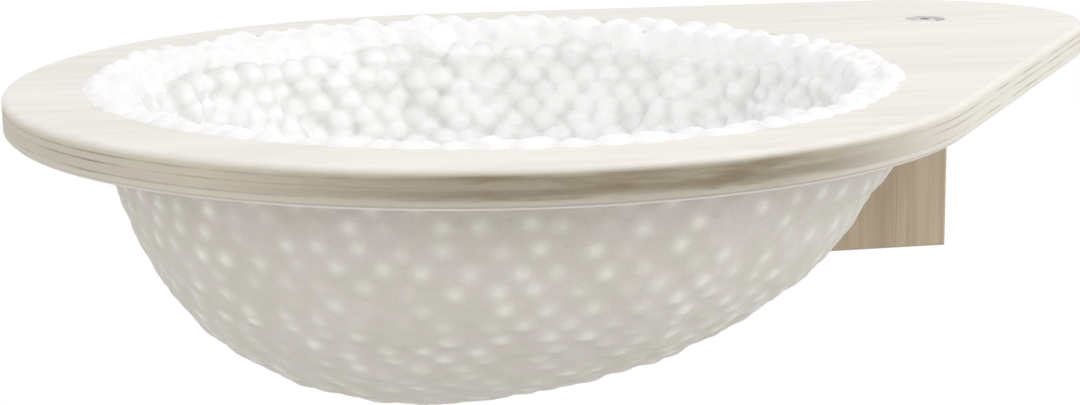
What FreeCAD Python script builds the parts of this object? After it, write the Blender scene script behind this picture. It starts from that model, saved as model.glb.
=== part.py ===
"""Wall shelf of a cat climbing wall: a teardrop plywood board with a knitted nest, on a wooden bracket.

Millimetres. The origin lies on the wall, at the middle of the four wall screw holes of the bracket.
X runs along the wall, Y into the wall and Z up, so everything in front of the wall has a negative Y.
"""
import FreeCAD, Part
import math
import os

import Sketcher
from FreeCAD import Placement, Rotation, Vector

# Driving sizes: alias, value, meaning. Each is written once and goes into the spreadsheet.
SIZES = (
    # Board
    ("board_thick", 15.0, "thickness of the plywood"),
    ("nest_lobe_radius", 200.5, "round end that carries the nest"),
    ("tip_lobe_radius", 78.0, "small round end over the bracket"),
    ("lobe_spacing", 261.3, "between the centres of the two round ends"),
    ("wall_gap", 2.0, "from the straight back edge to the wall"),
    ("board_edge_round", 2.5, "rounding of the upper outline"),
    ("board_edge_chamfer", 1.8, "slope of the lower outline"),
    ("nest_ring_width", 37.5, "wood around the opening that the nest hangs through"),
    ("rim_seat_width", 5.0, "ledge that carries the nest's rim"),
    ("rim_seat_depth", 8.0, "ledge below the board's top"),
    ("bolt_sink_radius", 10.0, "recess for the bolt's head"),
    ("bolt_sink_depth", 6.0, "recess below the board's top"),
    # Bolt and washer
    ("bolt_radius", 4.0, "shank of the bolt"),
    ("bolt_length", 25.0, "shank below the head"),
    ("bolt_head_radius", 7.0, "domed head"),
    ("bolt_head_rise", 4.2, "height of the domed head"),
    ("bolt_head_edge", 0.9, "straight rim under the dome"),
    ("bolt_key_flats", 5.0, "hexagon socket across its flats"),
    ("bolt_key_depth", 2.6, "hexagon socket's depth"),
    ("bolt_play", 0.25, "around the shank in the board"),
    ("washer_radius", 8.5, "outside of the washer"),
    ("washer_thick", 1.6, "thickness of the washer"),
    ("washer_play", 0.2, "around the shank in the washer"),
    ("swivel_play", 0.2, "above and below the turning board"),
    # Threaded insert
    ("insert_radius", 5.5, "outside of the threaded insert"),
    ("insert_length", 15.0, "length of the threaded insert"),
    ("insert_play", 0.1, "between the shank and the insert"),
    ("insert_hole_spare", 2.5, "hole below the insert"),
    # Bracket wall plate
    ("plate_width", 72.0, "along the wall"),
    ("plate_height", 117.0, "below the board"),
    ("plate_thick", 18.0, "out from the wall"),
    ("plate_edge_chamfer", 1.2, "slope of the front outline"),
    ("wall_hole_span", 54.0, "between the wall screws, along the wall"),
    ("wall_hole_rise", 41.0, "between the wall screws, up and down"),
    ("upper_hole_drop", 20.0, "upper wall screws below the board"),
    ("wall_hole_radius", 2.5, "hole for a wall screw"),
    ("wall_head_radius", 5.0, "countersink of a wall screw"),
    # Bracket arm
    ("arm_width", 42.0, "along the wall"),
    ("arm_length", 87.0, "out from the wall plate"),
    ("arm_root_height", 45.0, "height at the wall plate"),
    ("arm_nose_height", 24.0, "height at the free end"),
    ("arm_edge_round", 2.0, "rounding of the free end"),
    # Dowels and screws that join the bracket
    ("dowel_radius", 4.0, "beech dowel"),
    ("dowel_in_plate", 12.0, "hole depth in the wall plate"),
    ("dowel_in_arm", 20.0, "hole depth in the arm"),
    ("dowel_end_play", 0.5, "at each end of a dowel"),
    ("dowel_span", 26.0, "between the two dowels"),
    ("dowel_drop", 22.0, "dowels below the arm's top"),
    ("joint_screw_radius", 2.25, "shank of a joint screw"),
    ("joint_screw_head", 4.5, "countersunk head of a joint screw"),
    ("joint_screw_length", 50.0, "whole length of a joint screw"),
    ("joint_screw_sink", 0.4, "head below the plate's back"),
    ("joint_screw_play", 0.15, "around the shank in the plate"),
    ("joint_screw_tip", 4.0, "length of the pointed end"),
    ("joint_screw_rise", 22.0, "between the two joint screws"),
    ("joint_screw_drop", 9.5, "upper joint screw below the arm's top"),
    # Nest
    ("rim_width", 20.0, "padded rim, inside to outside"),
    ("rim_side_play", 0.5, "between the rim and its ledge's wall"),
    ("rim_seat_play", 0.3, "between the rim and its ledge"),
    ("rim_shoulder", 2.5, "slope of the rim's upper corners"),
    ("hoop_width", 9.0, "flat steel hoop inside the rim"),
    ("hoop_thick", 2.5, "thickness of the hoop"),
    ("hoop_inset", 4.0, "hoop inside the rim's outside"),
    ("bowl_hole_play", 0.6, "between the knitted bowl and the hole"),
    ("bowl_wall", 13.0, "thickness of the knitting"),
    ("bowl_depth", 129.3, "rim's underside to the bowl's lowest point"),
    ("bowl_sag", 25.0, "lowest point away from the bracket, off the mouth's middle"),
    ("fold_height", 9.0, "highest fold inside the bowl"),
)

# The bowl's outline on each side: reach = (1 - depth_share ^ fullness) ^ roundness.
# The side away from the bracket is the fuller one.
BOWL_DEPTH_SHARES = (0.0, 0.30, 0.56, 0.76, 0.90, 0.98)
FULL_SIDE_SHARES = (2.26, 0.506)
SLACK_SIDE_SHARES = (2.70, 0.772)

# The folds inside the bowl: the creases between them as shares of a turn from +X, each fold's height
# as a share of the highest one, and how much of its height a fold has at each depth share.
CREASE_SHARES = (
    0.020, 0.080, 0.150, 0.210, 0.275, 0.345, 0.400, 0.455, 0.515, 0.580, 0.650, 0.720, 0.785, 0.860, 0.935,
)
FOLD_HEIGHT_SHARES = (
    0.75, 0.55, 0.65, 0.45, 0.60, 0.85, 1.00, 0.80, 0.95, 0.70, 0.60, 0.55, 0.70, 0.60, 0.80,
)
FOLD_FADE_SHARES = (0.0, 1.0, 0.85, 0.55, 0.25, 0.0)

# The bolt's dome in straight steps: shares of the head's radius and of the dome's height.
BOLT_DOME_SHARES = ((1.0, 0.0), (0.926, 0.5), (0.725, 0.866), (0.45, 1.0))

# Places worked out from the driving sizes.
UNDERSIDE = "(Sizes.upper_hole_drop + Sizes.wall_hole_rise / 2)"
BRACKET_TOP = f"({UNDERSIDE} - Sizes.swivel_play)"
BOLT_REACH = "(Sizes.wall_gap + Sizes.tip_lobe_radius)"
NEST_OUT = "(Sizes.nest_lobe_radius - Sizes.tip_lobe_radius)"
NEST_ALONG = f"sqrt(Sizes.lobe_spacing ^ 2 - {NEST_OUT} ^ 2)"
NEST_HOLE_RADIUS = "(Sizes.nest_lobe_radius - Sizes.nest_ring_width)"
RIM_SEAT_RADIUS = f"({NEST_HOLE_RADIUS} + Sizes.rim_seat_width)"
RIM_OUTSIDE = f"({RIM_SEAT_RADIUS} - Sizes.rim_side_play)"
RIM_UNDERSIDE = "(Sizes.rim_seat_depth - Sizes.rim_seat_play)"
BOWL_MOUTH = f"({NEST_HOLE_RADIUS} - Sizes.bowl_hole_play)"
WASHER_FLOOR = f"({UNDERSIDE} + Sizes.board_thick - Sizes.bolt_sink_depth + Sizes.swivel_play)"
HEAD_SEAT = f"({WASHER_FLOOR} + Sizes.washer_thick)"
SCREW_HOLE = "(Sizes.joint_screw_radius + Sizes.joint_screw_play)"


def number(doc, text):
    """Work out a sheet expression as a plain number."""
    found = doc.Sizes.evalExpression(text)
    return float(getattr(found, "Value", found))


def make_sheet(doc):
    """Write every driving size into the spreadsheet, under its alias."""
    sheet = doc.addObject("Spreadsheet::Sheet", "Sizes")
    for row, (alias, value, meaning) in enumerate(SIZES, start=1):
        sheet.set(f"A{row}", meaning)
        sheet.set(f"B{row}", str(value))
        sheet.setAlias(f"B{row}", alias)
    doc.recompute()


def make_body(doc, label, along="0", out="0", up="0"):
    """Make an empty body placed by three sheet expressions."""
    body = doc.addObject("PartDesign::Body", label)
    body.Label = label
    for axis, text in zip("xyz", (along, out, up)):
        if text != "0":
            body.setExpression(f"Placement.Base.{axis}", text)
    return body


def new_sketch(body, name, role, lift="0"):
    """Attach a sketch to one of the body's own origin planes, lifted along the plane's normal."""
    sketch = body.newObject("Sketcher::SketchObject", name)
    plane = next(item for item in body.Origin.OriginFeatures if item.Role == role)
    sketch.AttachmentSupport = [(plane, "")]
    sketch.MapMode = "FlatFace"
    if lift != "0":
        sketch.setExpression("AttachmentOffset.Base.z", lift)
    return sketch


def bind(sketch, kind, places, text):
    """Add a dimension to a sketch and tie it to the sheet."""
    value = number(sketch.Document, text)
    index = sketch.addConstraint(Sketcher.Constraint(kind, *places, value))
    sketch.setExpression(f"Constraints[{index}]", text)


def fix_point(sketch, geometry, point, across, up):
    """Place one point of a sketch by two expressions, measured from the sketch's origin."""
    if across == "0":
        sketch.addConstraint(Sketcher.Constraint("PointOnObject", geometry, point, -2))
    else:
        bind(sketch, "DistanceX", (-1, 1, geometry, point), across)
    if up == "0":
        sketch.addConstraint(Sketcher.Constraint("PointOnObject", geometry, point, -1))
    else:
        bind(sketch, "DistanceY", (-1, 1, geometry, point), up)


def add_circle(sketch, radius, across="0", up="0"):
    """Draw a circle whose radius and centre follow the sheet."""
    doc = sketch.Document
    centre = Vector(number(doc, across), number(doc, up), 0)
    circle = Part.Circle(centre, Vector(0, 0, 1), number(doc, radius))
    index = sketch.addGeometry(circle, False)
    bind(sketch, "Radius", (index,), radius)
    fix_point(sketch, index, 3, across, up)


def add_outline(sketch, corners):
    """Draw a closed outline of straight lines through corners given as pairs of expressions."""
    doc = sketch.Document
    points = [Vector(number(doc, across), number(doc, up), 0) for across, up in corners]
    first = sketch.GeometryCount
    for index, point in enumerate(points):
        following = points[(index + 1) % len(points)]
        sketch.addGeometry(Part.LineSegment(point, following), False)
    for index, (across, up) in enumerate(corners):
        before = first + (index - 1) % len(corners)
        sketch.addConstraint(Sketcher.Constraint("Coincident", before, 2, first + index, 1))
        fix_point(sketch, first + index, 1, across, up)


def pad(body, name, sketch, length, symmetric=False):
    """Pad a sketch along its normal, or to both sides of its plane."""
    feature = body.newObject("PartDesign::Pad", name)
    feature.Profile = sketch
    feature.setExpression("Length", length)
    if symmetric:
        feature.SideType = "Symmetric"
    return feature


def pocket(body, name, sketch, depth=None, along_normal=False):
    """Cut a sketch into the body, right through where no depth is given."""
    feature = body.newObject("PartDesign::Pocket", name)
    feature.Profile = sketch
    feature.Reversed = along_normal
    if depth is None:
        feature.Type = "ThroughAll"
    else:
        feature.setExpression("Length", depth)
    return feature


def revolve(body, name, sketch):
    """Turn a sketch a full turn about the body's upright axis."""
    feature = body.newObject("PartDesign::Revolution", name)
    feature.Profile = sketch
    axis = next(item for item in body.Origin.OriginFeatures if item.Role == "Z_Axis")
    feature.ReferenceAxis = (axis, [""])
    feature.Angle = 360.0
    return feature


def edge_names(feature, wanted):
    """Name the edges of a feature that pass a test."""
    edges = enumerate(feature.Shape.Edges, start=1)
    return [f"Edge{index}" for index, edge in edges if wanted(edge)]


def dress(body, kind, name, base, wanted, size):
    """Fillet or chamfer the edges of the base feature that pass a test."""
    body.Document.recompute()
    feature = body.newObject(f"PartDesign::{kind}", name)
    feature.Base = (base, edge_names(base, wanted))
    feature.setExpression("Radius" if kind == "Fillet" else "Size", size)
    body.Document.recompute()
    return feature


def is_level(edge, axis, place):
    """Tell whether a whole edge lies at one place along an axis."""
    low = getattr(edge.BoundBox, f"{axis}Min")
    high = getattr(edge.BoundBox, f"{axis}Max")
    return math.isclose(low, place, abs_tol=1e-4) and math.isclose(high, place, abs_tol=1e-4)


def is_round(edge, radius):
    """Tell whether an edge is a circle of the given radius."""
    circle = isinstance(edge.Curve, Part.Circle)
    return circle and math.isclose(edge.Curve.Radius, radius, abs_tol=1e-4)


def draw_teardrop(sketch):
    """Draw the board's outline: two round ends joined by two tangent edges."""
    doc = sketch.Document
    tip = number(doc, "Sizes.tip_lobe_radius")
    large = number(doc, "Sizes.nest_lobe_radius")
    centre = Vector(-number(doc, NEST_ALONG), -number(doc, NEST_OUT), 0)
    half_turn = math.atan2(-centre.y, -centre.x)
    front = half_turn * 2 - math.pi / 2
    normal = Vector(0, 0, 1)
    outward = Vector(math.cos(front), math.sin(front), 0)
    back = Vector(0, 1, 0)
    tip_circle = Part.Circle(Vector(0, 0, 0), normal, tip)
    nest_circle = Part.Circle(centre, normal, large)
    sketch.addGeometry(Part.ArcOfCircle(tip_circle, front, math.pi / 2), False)
    sketch.addGeometry(Part.LineSegment(back * tip, centre + back * large), False)
    sketch.addGeometry(Part.ArcOfCircle(nest_circle, math.pi / 2, front + 2 * math.pi), False)
    sketch.addGeometry(Part.LineSegment(centre + outward * large, outward * tip), False)
    for before, end, after, start in ((0, 2, 1, 1), (1, 2, 2, 1), (2, 2, 3, 1), (3, 2, 0, 1)):
        sketch.addConstraint(Sketcher.Constraint("Tangent", before, end, after, start))
    sketch.addConstraint(Sketcher.Constraint("Coincident", 0, 3, -1, 1))
    sketch.addConstraint(Sketcher.Constraint("Horizontal", 1))
    bind(sketch, "Radius", (0,), "Sizes.tip_lobe_radius")
    bind(sketch, "Radius", (2,), "Sizes.nest_lobe_radius")
    bind(sketch, "Distance", (0, 3, 2, 3), "Sizes.lobe_spacing")


def make_board(doc):
    """Build the plywood board with the nest's hole and ledge and the bolt's recess."""
    body = make_body(doc, "shelf_board", out=f"-{BOLT_REACH}", up=UNDERSIDE)
    outline = new_sketch(body, "board_outline", "XY_Plane")
    draw_teardrop(outline)
    plank = pad(body, "board_plank", outline, "Sizes.board_thick")
    thick = number(doc, "Sizes.board_thick")
    rounded = dress(
        body, "Fillet", "board_rounding", plank,
        lambda edge: is_level(edge, "Z", thick), "Sizes.board_edge_round",
    )
    dress(
        body, "Chamfer", "board_slope", rounded,
        lambda edge: is_level(edge, "Z", 0), "Sizes.board_edge_chamfer",
    )
    nest_place = (f"-{NEST_ALONG}", f"-{NEST_OUT}")
    cuts = (
        ("nest_hole", NEST_HOLE_RADIUS, None, nest_place),
        ("rim_seat", RIM_SEAT_RADIUS, "Sizes.rim_seat_depth", nest_place),
        ("bolt_hole", "(Sizes.bolt_radius + Sizes.bolt_play)", None, ("0", "0")),
        ("bolt_sink", "Sizes.bolt_sink_radius", "Sizes.bolt_sink_depth", ("0", "0")),
    )
    for name, radius, depth, (across, up) in cuts:
        sketch = new_sketch(body, f"{name}_circle", "XY_Plane", "Sizes.board_thick")
        add_circle(sketch, radius, across, up)
        pocket(body, name, sketch, depth)
    return body


def make_wall_plate(doc):
    """Build the upright wooden plate that is screwed to the wall."""
    body = make_body(doc, "bracket_wall_plate")
    outline = new_sketch(body, "plate_outline", "XZ_Plane")
    side = "Sizes.plate_width / 2"
    foot = f"({BRACKET_TOP} - Sizes.plate_height)"
    add_outline(outline, (
        (f"-{side}", foot), (side, foot), (side, BRACKET_TOP), (f"-{side}", BRACKET_TOP),
    ))
    plank = pad(body, "plate_plank", outline, "Sizes.plate_thick")
    front = -number(doc, "Sizes.plate_thick")
    dress(
        body, "Chamfer", "plate_slope", plank,
        lambda edge: is_level(edge, "Y", front), "Sizes.plate_edge_chamfer",
    )
    wall_holes = new_sketch(body, "wall_hole_circles", "XZ_Plane")
    for across in ("-Sizes.wall_hole_span / 2", "Sizes.wall_hole_span / 2"):
        for up in ("-Sizes.wall_hole_rise / 2", "Sizes.wall_hole_rise / 2"):
            add_circle(wall_holes, "Sizes.wall_hole_radius", across, up)
    drilled = pocket(body, "wall_holes", wall_holes, along_normal=True)
    wall_radius = number(doc, "Sizes.wall_hole_radius")
    dress(
        body, "Chamfer", "wall_countersinks", drilled,
        lambda edge: is_level(edge, "Y", front) and is_round(edge, wall_radius),
        "Sizes.wall_head_radius - Sizes.wall_hole_radius",
    )
    joint_holes = new_sketch(body, "joint_hole_circles", "XZ_Plane")
    for up in joint_screw_heights():
        add_circle(joint_holes, SCREW_HOLE, "0", up)
    bored = pocket(body, "joint_holes", joint_holes, along_normal=True)
    screw_radius = number(doc, SCREW_HOLE)
    dress(
        body, "Chamfer", "joint_countersinks", bored,
        lambda edge: is_level(edge, "Y", 0) and is_round(edge, screw_radius),
        f"Sizes.joint_screw_head + Sizes.joint_screw_sink - {SCREW_HOLE}",
    )
    dowel_holes = new_sketch(body, "dowel_hole_circles", "XZ_Plane", "Sizes.plate_thick")
    for across in dowel_places():
        add_circle(dowel_holes, "Sizes.dowel_radius", across, dowel_height())
    pocket(body, "dowel_holes", dowel_holes, "Sizes.dowel_in_plate")
    return body


def dowel_places():
    """Give the two dowels' places along the wall."""
    return "-Sizes.dowel_span / 2", "Sizes.dowel_span / 2"


def dowel_height():
    """Give the dowels' height above the origin."""
    return f"({BRACKET_TOP} - Sizes.dowel_drop)"


def joint_screw_heights():
    """Give the two joint screws' heights above the origin."""
    upper = f"({BRACKET_TOP} - Sizes.joint_screw_drop)"
    return upper, f"({upper} - Sizes.joint_screw_rise)"


def make_arm(doc):
    """Build the arm that reaches out under the board's tip."""
    body = make_body(doc, "bracket_arm", out="-Sizes.plate_thick")
    profile = new_sketch(body, "arm_profile", "YZ_Plane")
    add_outline(profile, (
        ("0", f"({BRACKET_TOP} - Sizes.arm_root_height)"),
        ("0", BRACKET_TOP),
        ("-Sizes.arm_length", BRACKET_TOP),
        ("-Sizes.arm_length", f"({BRACKET_TOP} - Sizes.arm_nose_height)"),
    ))
    beam = pad(body, "arm_beam", profile, "Sizes.arm_width", symmetric=True)
    nose = -number(doc, "Sizes.arm_length")
    top = number(doc, BRACKET_TOP)
    dress(
        body, "Fillet", "arm_rounding", beam,
        lambda edge: is_level(edge, "Y", nose) and not is_level(edge, "Z", top),
        "Sizes.arm_edge_round",
    )
    insert_hole = new_sketch(body, "insert_hole_circle", "XY_Plane", BRACKET_TOP)
    add_circle(insert_hole, "Sizes.insert_radius", "0", f"-({BOLT_REACH} - Sizes.plate_thick)")
    pocket(body, "insert_hole", insert_hole, "Sizes.insert_length + Sizes.insert_hole_spare")
    dowel_holes = new_sketch(body, "arm_dowel_circles", "XZ_Plane")
    for across in dowel_places():
        add_circle(dowel_holes, "Sizes.dowel_radius", across, dowel_height())
    pocket(body, "arm_dowel_holes", dowel_holes, "Sizes.dowel_in_arm", along_normal=True)
    pilots = new_sketch(body, "pilot_circles", "XZ_Plane")
    for up in joint_screw_heights():
        add_circle(pilots, "Sizes.joint_screw_radius", "0", up)
    reach = "Sizes.joint_screw_length + Sizes.joint_screw_sink - Sizes.plate_thick"
    pocket(body, "pilot_holes", pilots, reach, along_normal=True)
    return body


def make_dowels(doc):
    """Build the two dowels between the plate and the arm."""
    body = make_body(doc, "bracket_dowels", out="-(Sizes.plate_thick - Sizes.dowel_in_plate)")
    body.AllowCompound = True
    circles = new_sketch(body, "dowel_circles", "XZ_Plane", "Sizes.dowel_end_play")
    for across in dowel_places():
        add_circle(circles, "Sizes.dowel_radius", across, dowel_height())
    length = "Sizes.dowel_in_plate + Sizes.dowel_in_arm - 2 * Sizes.dowel_end_play"
    pad(body, "dowel_rods", circles, length)
    return body


def make_joint_screws(doc):
    """Build the two countersunk screws that pull the arm onto the plate."""
    pieces = []
    lying = Rotation(Vector(1, 0, 0), 90)
    taper = "(Sizes.joint_screw_head - Sizes.joint_screw_radius)"
    for index, up in enumerate(joint_screw_heights(), start=1):
        head = doc.addObject("Part::Cone", f"screw_head_{index}")
        head.setExpression("Radius1", "Sizes.joint_screw_head")
        head.setExpression("Radius2", "Sizes.joint_screw_radius")
        head.setExpression("Height", taper)
        shank = doc.addObject("Part::Cylinder", f"screw_shank_{index}")
        shank.setExpression("Radius", "Sizes.joint_screw_radius")
        shank.setExpression("Height", f"Sizes.joint_screw_length - {taper} - Sizes.joint_screw_tip")
        point = doc.addObject("Part::Cone", f"screw_point_{index}")
        point.setExpression("Radius1", "Sizes.joint_screw_radius")
        point.setExpression("Radius2", "0")
        point.setExpression("Height", "Sizes.joint_screw_tip")
        starts = (
            (head, "Sizes.joint_screw_sink"),
            (shank, f"(Sizes.joint_screw_sink + {taper})"),
            (point, "(Sizes.joint_screw_sink + Sizes.joint_screw_length - Sizes.joint_screw_tip)"),
        )
        for piece, start in starts:
            piece.Placement = Placement(Vector(0, 0, 0), lying)
            piece.setExpression("Placement.Base.y", f"-{start}")
            piece.setExpression("Placement.Base.z", up)
            pieces.append(piece)
    screws = doc.addObject("Part::MultiFuse", "bracket_screws")
    screws.Label = "bracket_screws"
    screws.Shapes = pieces
    return screws


def make_insert(doc):
    """Build the threaded insert in the arm's top."""
    body = make_body(
        doc, "threaded_insert", out=f"-{BOLT_REACH}",
        up=f"({BRACKET_TOP} - Sizes.insert_length)",
    )
    rings = new_sketch(body, "insert_circles", "XY_Plane")
    add_circle(rings, "Sizes.insert_radius")
    add_circle(rings, "(Sizes.bolt_radius + Sizes.insert_play)")
    pad(body, "insert_sleeve", rings, "Sizes.insert_length")
    return body


def make_bolt(doc):
    """Build the bolt that clamps the board: a domed head with a hexagon socket."""
    body = make_body(doc, "board_bolt", out=f"-{BOLT_REACH}", up=HEAD_SEAT)
    profile = new_sketch(body, "bolt_profile", "XZ_Plane")
    dome_rise = "(Sizes.bolt_head_rise - Sizes.bolt_head_edge)"
    dome = [
        (f"({out} * Sizes.bolt_head_radius)", f"(Sizes.bolt_head_edge + {up} * {dome_rise})")
        for out, up in BOLT_DOME_SHARES
    ]
    add_outline(profile, (
        ("0", "-Sizes.bolt_length"),
        ("Sizes.bolt_radius", "-Sizes.bolt_length"),
        ("Sizes.bolt_radius", "0"),
        ("Sizes.bolt_head_radius", "0"),
        *dome,
        ("0", "Sizes.bolt_head_rise"),
    ))
    revolve(body, "bolt_turned", profile)
    key = new_sketch(body, "bolt_key_outline", "XY_Plane", "Sizes.bolt_head_rise")
    corners = []
    for step in range(6):
        turn = math.radians(60 * step)
        corner = "Sizes.bolt_key_flats / sqrt(3)"
        corners.append((
            f"({math.cos(turn):.6f} * {corner})",
            "0" if step % 3 == 0 else f"({math.sin(turn):.6f} * {corner})",
        ))
    add_outline(key, corners)
    pocket(body, "bolt_key", key, "Sizes.bolt_key_depth")
    return body


def make_washer(doc):
    """Build the washer under the bolt's head."""
    body = make_body(doc, "bolt_washer", out=f"-{BOLT_REACH}", up=WASHER_FLOOR)
    rings = new_sketch(body, "washer_circles", "XY_Plane")
    add_circle(rings, "Sizes.washer_radius")
    add_circle(rings, "(Sizes.bolt_radius + Sizes.washer_play)")
    pad(body, "washer_disc", rings, "Sizes.washer_thick")
    return body


def make_nest_body(doc, label):
    """Make an empty body at the nest's centre, level with the board's top."""
    return make_body(
        doc, label, along=f"-{NEST_ALONG}", out=f"-({BOLT_REACH} + {NEST_OUT})",
        up=f"({UNDERSIDE} + Sizes.board_thick)",
    )


def hoop_corners():
    """Give the corners of the flat hoop's section, in the middle of the rim's height."""
    outside = f"({RIM_OUTSIDE} - Sizes.hoop_inset)"
    inside = f"({outside} - Sizes.hoop_width)"
    low = f"(-({RIM_UNDERSIDE} + Sizes.hoop_thick) / 2)"
    high = f"(-({RIM_UNDERSIDE} - Sizes.hoop_thick) / 2)"
    return (inside, low), (outside, low), (outside, high), (inside, high)


def make_hoop(doc):
    """Build the flat steel hoop that keeps the nest's rim round."""
    body = make_nest_body(doc, "nest_hoop")
    section = new_sketch(body, "hoop_section", "XZ_Plane")
    add_outline(section, hoop_corners())
    revolve(body, "hoop_turned", section)
    return body


def make_rim(doc):
    """Build the knitted rim, which closes round the hoop and rests on the board's ledge."""
    body = make_nest_body(doc, "nest_rim")
    section = new_sketch(body, "rim_section", "XZ_Plane")
    inside = f"({RIM_OUTSIDE} - Sizes.rim_width)"
    add_outline(section, (
        (inside, f"-{RIM_UNDERSIDE}"),
        (RIM_OUTSIDE, f"-{RIM_UNDERSIDE}"),
        (RIM_OUTSIDE, "-Sizes.rim_shoulder"),
        (f"({RIM_OUTSIDE} - Sizes.rim_shoulder)", "0"),
        (f"({inside} + Sizes.rim_shoulder)", "0"),
        (inside, "-Sizes.rim_shoulder"),
    ))
    add_outline(section, hoop_corners())
    revolve(body, "rim_turned", section)
    return body


def bowl_reach(side_shares, share, middle):
    """Give the distance from the lowest point's line to one side of the bowl at a share of its depth."""
    fullness, roundness = side_shares
    return f"({middle} * (1 - {share} ^ {fullness}) ^ {roundness})"


def bowl_ring(mouth, share):
    """Give the radius of the bowl's level ring at a share of its depth, and how far it drifts along X."""
    full = bowl_reach(FULL_SIDE_SHARES, share, f"({mouth} - Sizes.bowl_sag)")
    slack = bowl_reach(SLACK_SIDE_SHARES, share, f"({mouth} + Sizes.bowl_sag)")
    drift = f"(({slack} - {full}) / 2 - Sizes.bowl_sag)" if share else "0"
    return f"(({full} + {slack}) / 2)", drift


def ring_point(turn_share, radius, drift):
    """Give a point of a level ring by two expressions, at a share of a turn."""
    turn = 2 * math.pi * turn_share
    return f"({math.cos(turn):.6f} * {radius} + {drift})", f"({math.sin(turn):.6f} * {radius})"


def folded_corners(radius, drift, fade):
    """Give the corners of a level ring that folds inwards between its creases."""
    corners = []
    for index, (crease, height) in enumerate(zip(CREASE_SHARES, FOLD_HEIGHT_SHARES)):
        following = CREASE_SHARES[index + 1] if index + 1 < len(CREASE_SHARES) else CREASE_SHARES[0] + 1
        ridge = f"({radius} - {fade * height:.4f} * Sizes.fold_height)"
        corners.append(ring_point(crease, radius, drift))
        corners.append(ring_point((crease + following) / 2, ridge, drift))
    return corners


def make_bowl(doc):
    """Build the knitted bowl: an open shell that hangs from the rim and sags to one side.

    Its outside is smooth, and its inside folds inwards, most of all on the side away from the bracket.
    """
    body = make_nest_body(doc, "nest_bowl")
    hollow_mouth = f"({BOWL_MOUTH} - Sizes.bowl_wall)"
    hollow_depth = "(Sizes.bowl_depth - Sizes.bowl_wall)"
    outside = []
    inside = []
    for index, (share, fade) in enumerate(zip(BOWL_DEPTH_SHARES, FOLD_FADE_SHARES)):
        sketch = new_sketch(
            body, f"bowl_outside_{index}", "XY_Plane",
            f"-({RIM_UNDERSIDE} + {share} * Sizes.bowl_depth)",
        )
        radius, drift = bowl_ring(BOWL_MOUTH, share)
        add_circle(sketch, radius, drift)
        outside.append(sketch)
        sketch = new_sketch(
            body, f"bowl_inside_{index}", "XY_Plane", f"-({RIM_UNDERSIDE} + {share} * {hollow_depth})",
        )
        radius, drift = bowl_ring(hollow_mouth, share)
        add_outline(sketch, folded_corners(radius, drift, fade))
        inside.append(sketch)
    for kind, name, sections in (
        ("AdditiveLoft", "bowl_skin", outside), ("SubtractiveLoft", "bowl_hollow", inside),
    ):
        loft = body.newObject(f"PartDesign::{kind}", name)
        loft.Profile = sections[0]
        loft.Sections = sections[1:]
        loft.Ruled = True
        doc.recompute()
    return body


def check_document(doc):
    """Stop where a feature failed or a cut took nothing away."""
    for item in doc.Objects:
        if "Invalid" in item.State or "Error" in item.State:
            raise RuntimeError(f"{item.Label} failed: {item.State}")
        if item.TypeId in ("PartDesign::Pocket", "PartDesign::SubtractiveLoft"):
            before = item.BaseFeature.Shape.Volume
            if item.Shape.Volume > before - 1:
                raise RuntimeError(f"{item.Label} cuts nothing")


def write_parts(parts):
    """Check each piece's shape and write it to its own file."""
    os.makedirs("parts", exist_ok=True)
    for part in parts:
        shape = part.Shape
        if shape.isNull() or not shape.isValid():
            raise RuntimeError(f"{part.Label} has no valid shape")
        box = shape.BoundBox
        shape.exportStep(f"parts/{part.Label}.step")
        print(
            f"{part.Label}: {len(shape.Solids)} solid, {shape.Volume / 1000:.2f} cm3, "
            f"x {box.XMin:.1f} {box.XMax:.1f}, y {box.YMin:.1f} {box.YMax:.1f}, "
            f"z {box.ZMin:.1f} {box.ZMax:.1f}"
        )


def main():
    """Build the shelf and write its pieces."""
    doc = FreeCAD.newDocument("cat_wall_shelf")
    make_sheet(doc)
    makers = (
        make_board, make_wall_plate, make_arm, make_dowels, make_joint_screws,
        make_insert, make_bolt, make_washer, make_hoop, make_rim, make_bowl,
    )
    parts = [maker(doc) for maker in makers]
    doc.recompute()
    check_document(doc)
    write_parts(parts)


main()
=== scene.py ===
"""Looks of a cat climbing wall's shelf: a teardrop plywood board with a chunky knitted nest.

Metres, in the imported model's frame: X along the wall, Y into the wall, Z up, origin on the wall.
"""

import logging
import math
from dataclasses import dataclass
from enum import Enum
from typing import Callable

import bpy
import numpy as np
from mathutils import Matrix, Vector, noise
from mathutils.kdtree import KDTree


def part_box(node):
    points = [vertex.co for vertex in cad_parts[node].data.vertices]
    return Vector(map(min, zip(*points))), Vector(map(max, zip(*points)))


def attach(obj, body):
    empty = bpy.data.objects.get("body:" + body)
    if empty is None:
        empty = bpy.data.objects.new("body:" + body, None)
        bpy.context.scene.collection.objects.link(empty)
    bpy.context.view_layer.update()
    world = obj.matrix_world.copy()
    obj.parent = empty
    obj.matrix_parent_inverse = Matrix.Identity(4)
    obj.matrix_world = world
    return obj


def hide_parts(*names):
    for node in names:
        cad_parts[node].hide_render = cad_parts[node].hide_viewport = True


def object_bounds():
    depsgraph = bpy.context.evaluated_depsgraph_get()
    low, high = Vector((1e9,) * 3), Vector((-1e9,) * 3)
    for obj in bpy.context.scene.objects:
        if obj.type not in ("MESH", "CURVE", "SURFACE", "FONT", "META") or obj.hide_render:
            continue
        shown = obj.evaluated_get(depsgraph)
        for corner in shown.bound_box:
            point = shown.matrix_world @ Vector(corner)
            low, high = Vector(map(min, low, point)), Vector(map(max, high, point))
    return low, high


LOG = logging.getLogger("shelf")
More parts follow.
